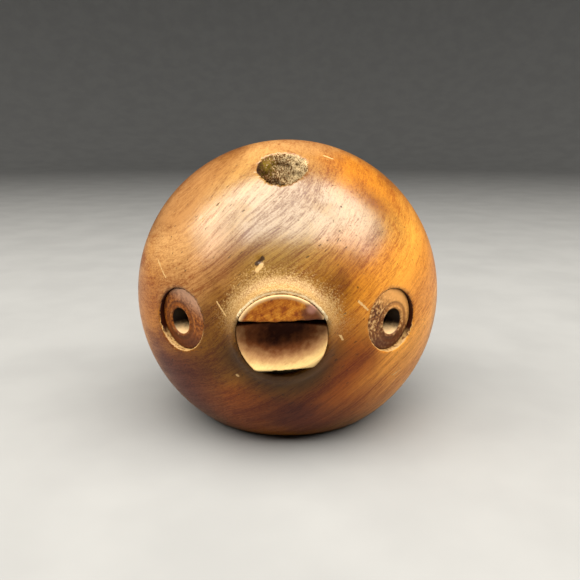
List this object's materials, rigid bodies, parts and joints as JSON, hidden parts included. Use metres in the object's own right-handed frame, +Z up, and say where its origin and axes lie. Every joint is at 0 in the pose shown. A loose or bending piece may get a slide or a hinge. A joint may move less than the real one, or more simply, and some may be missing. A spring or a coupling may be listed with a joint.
{
  "type": "ocarina",
  "caption": "Round wooden duct ocarina with a bird's face: beak mouthpiece, finger-hole eyes, a sound hole at the crown and a flat base.",
  "frame": {"origin": "centre of the flat base that the ball stands on", "axes": "+Z up, -Y the way the face and the beak point, +X to the right of a player who blows it"},
  "size_m": [0.064, 0.0655, 0.0576],
  "materials": {
    "body_wood": "satin oiled hardwood, orange brown with darker streaks",
    "base_plug_wood": "satin oiled hardwood, turned end grain",
    "beak_wood": "satin oiled hardwood, paler on the worn lip",
    "eye_wood": "matte darker hardwood, end grain"
  },
  "bodies": {
    "root": {"body": "body_wood", "base_plug": "base_plug_wood", "beak_upper": "beak_wood", "beak_lower": "beak_wood", "left_eye": "eye_wood", "right_eye": "eye_wood"}
  },
  "joints": []
}
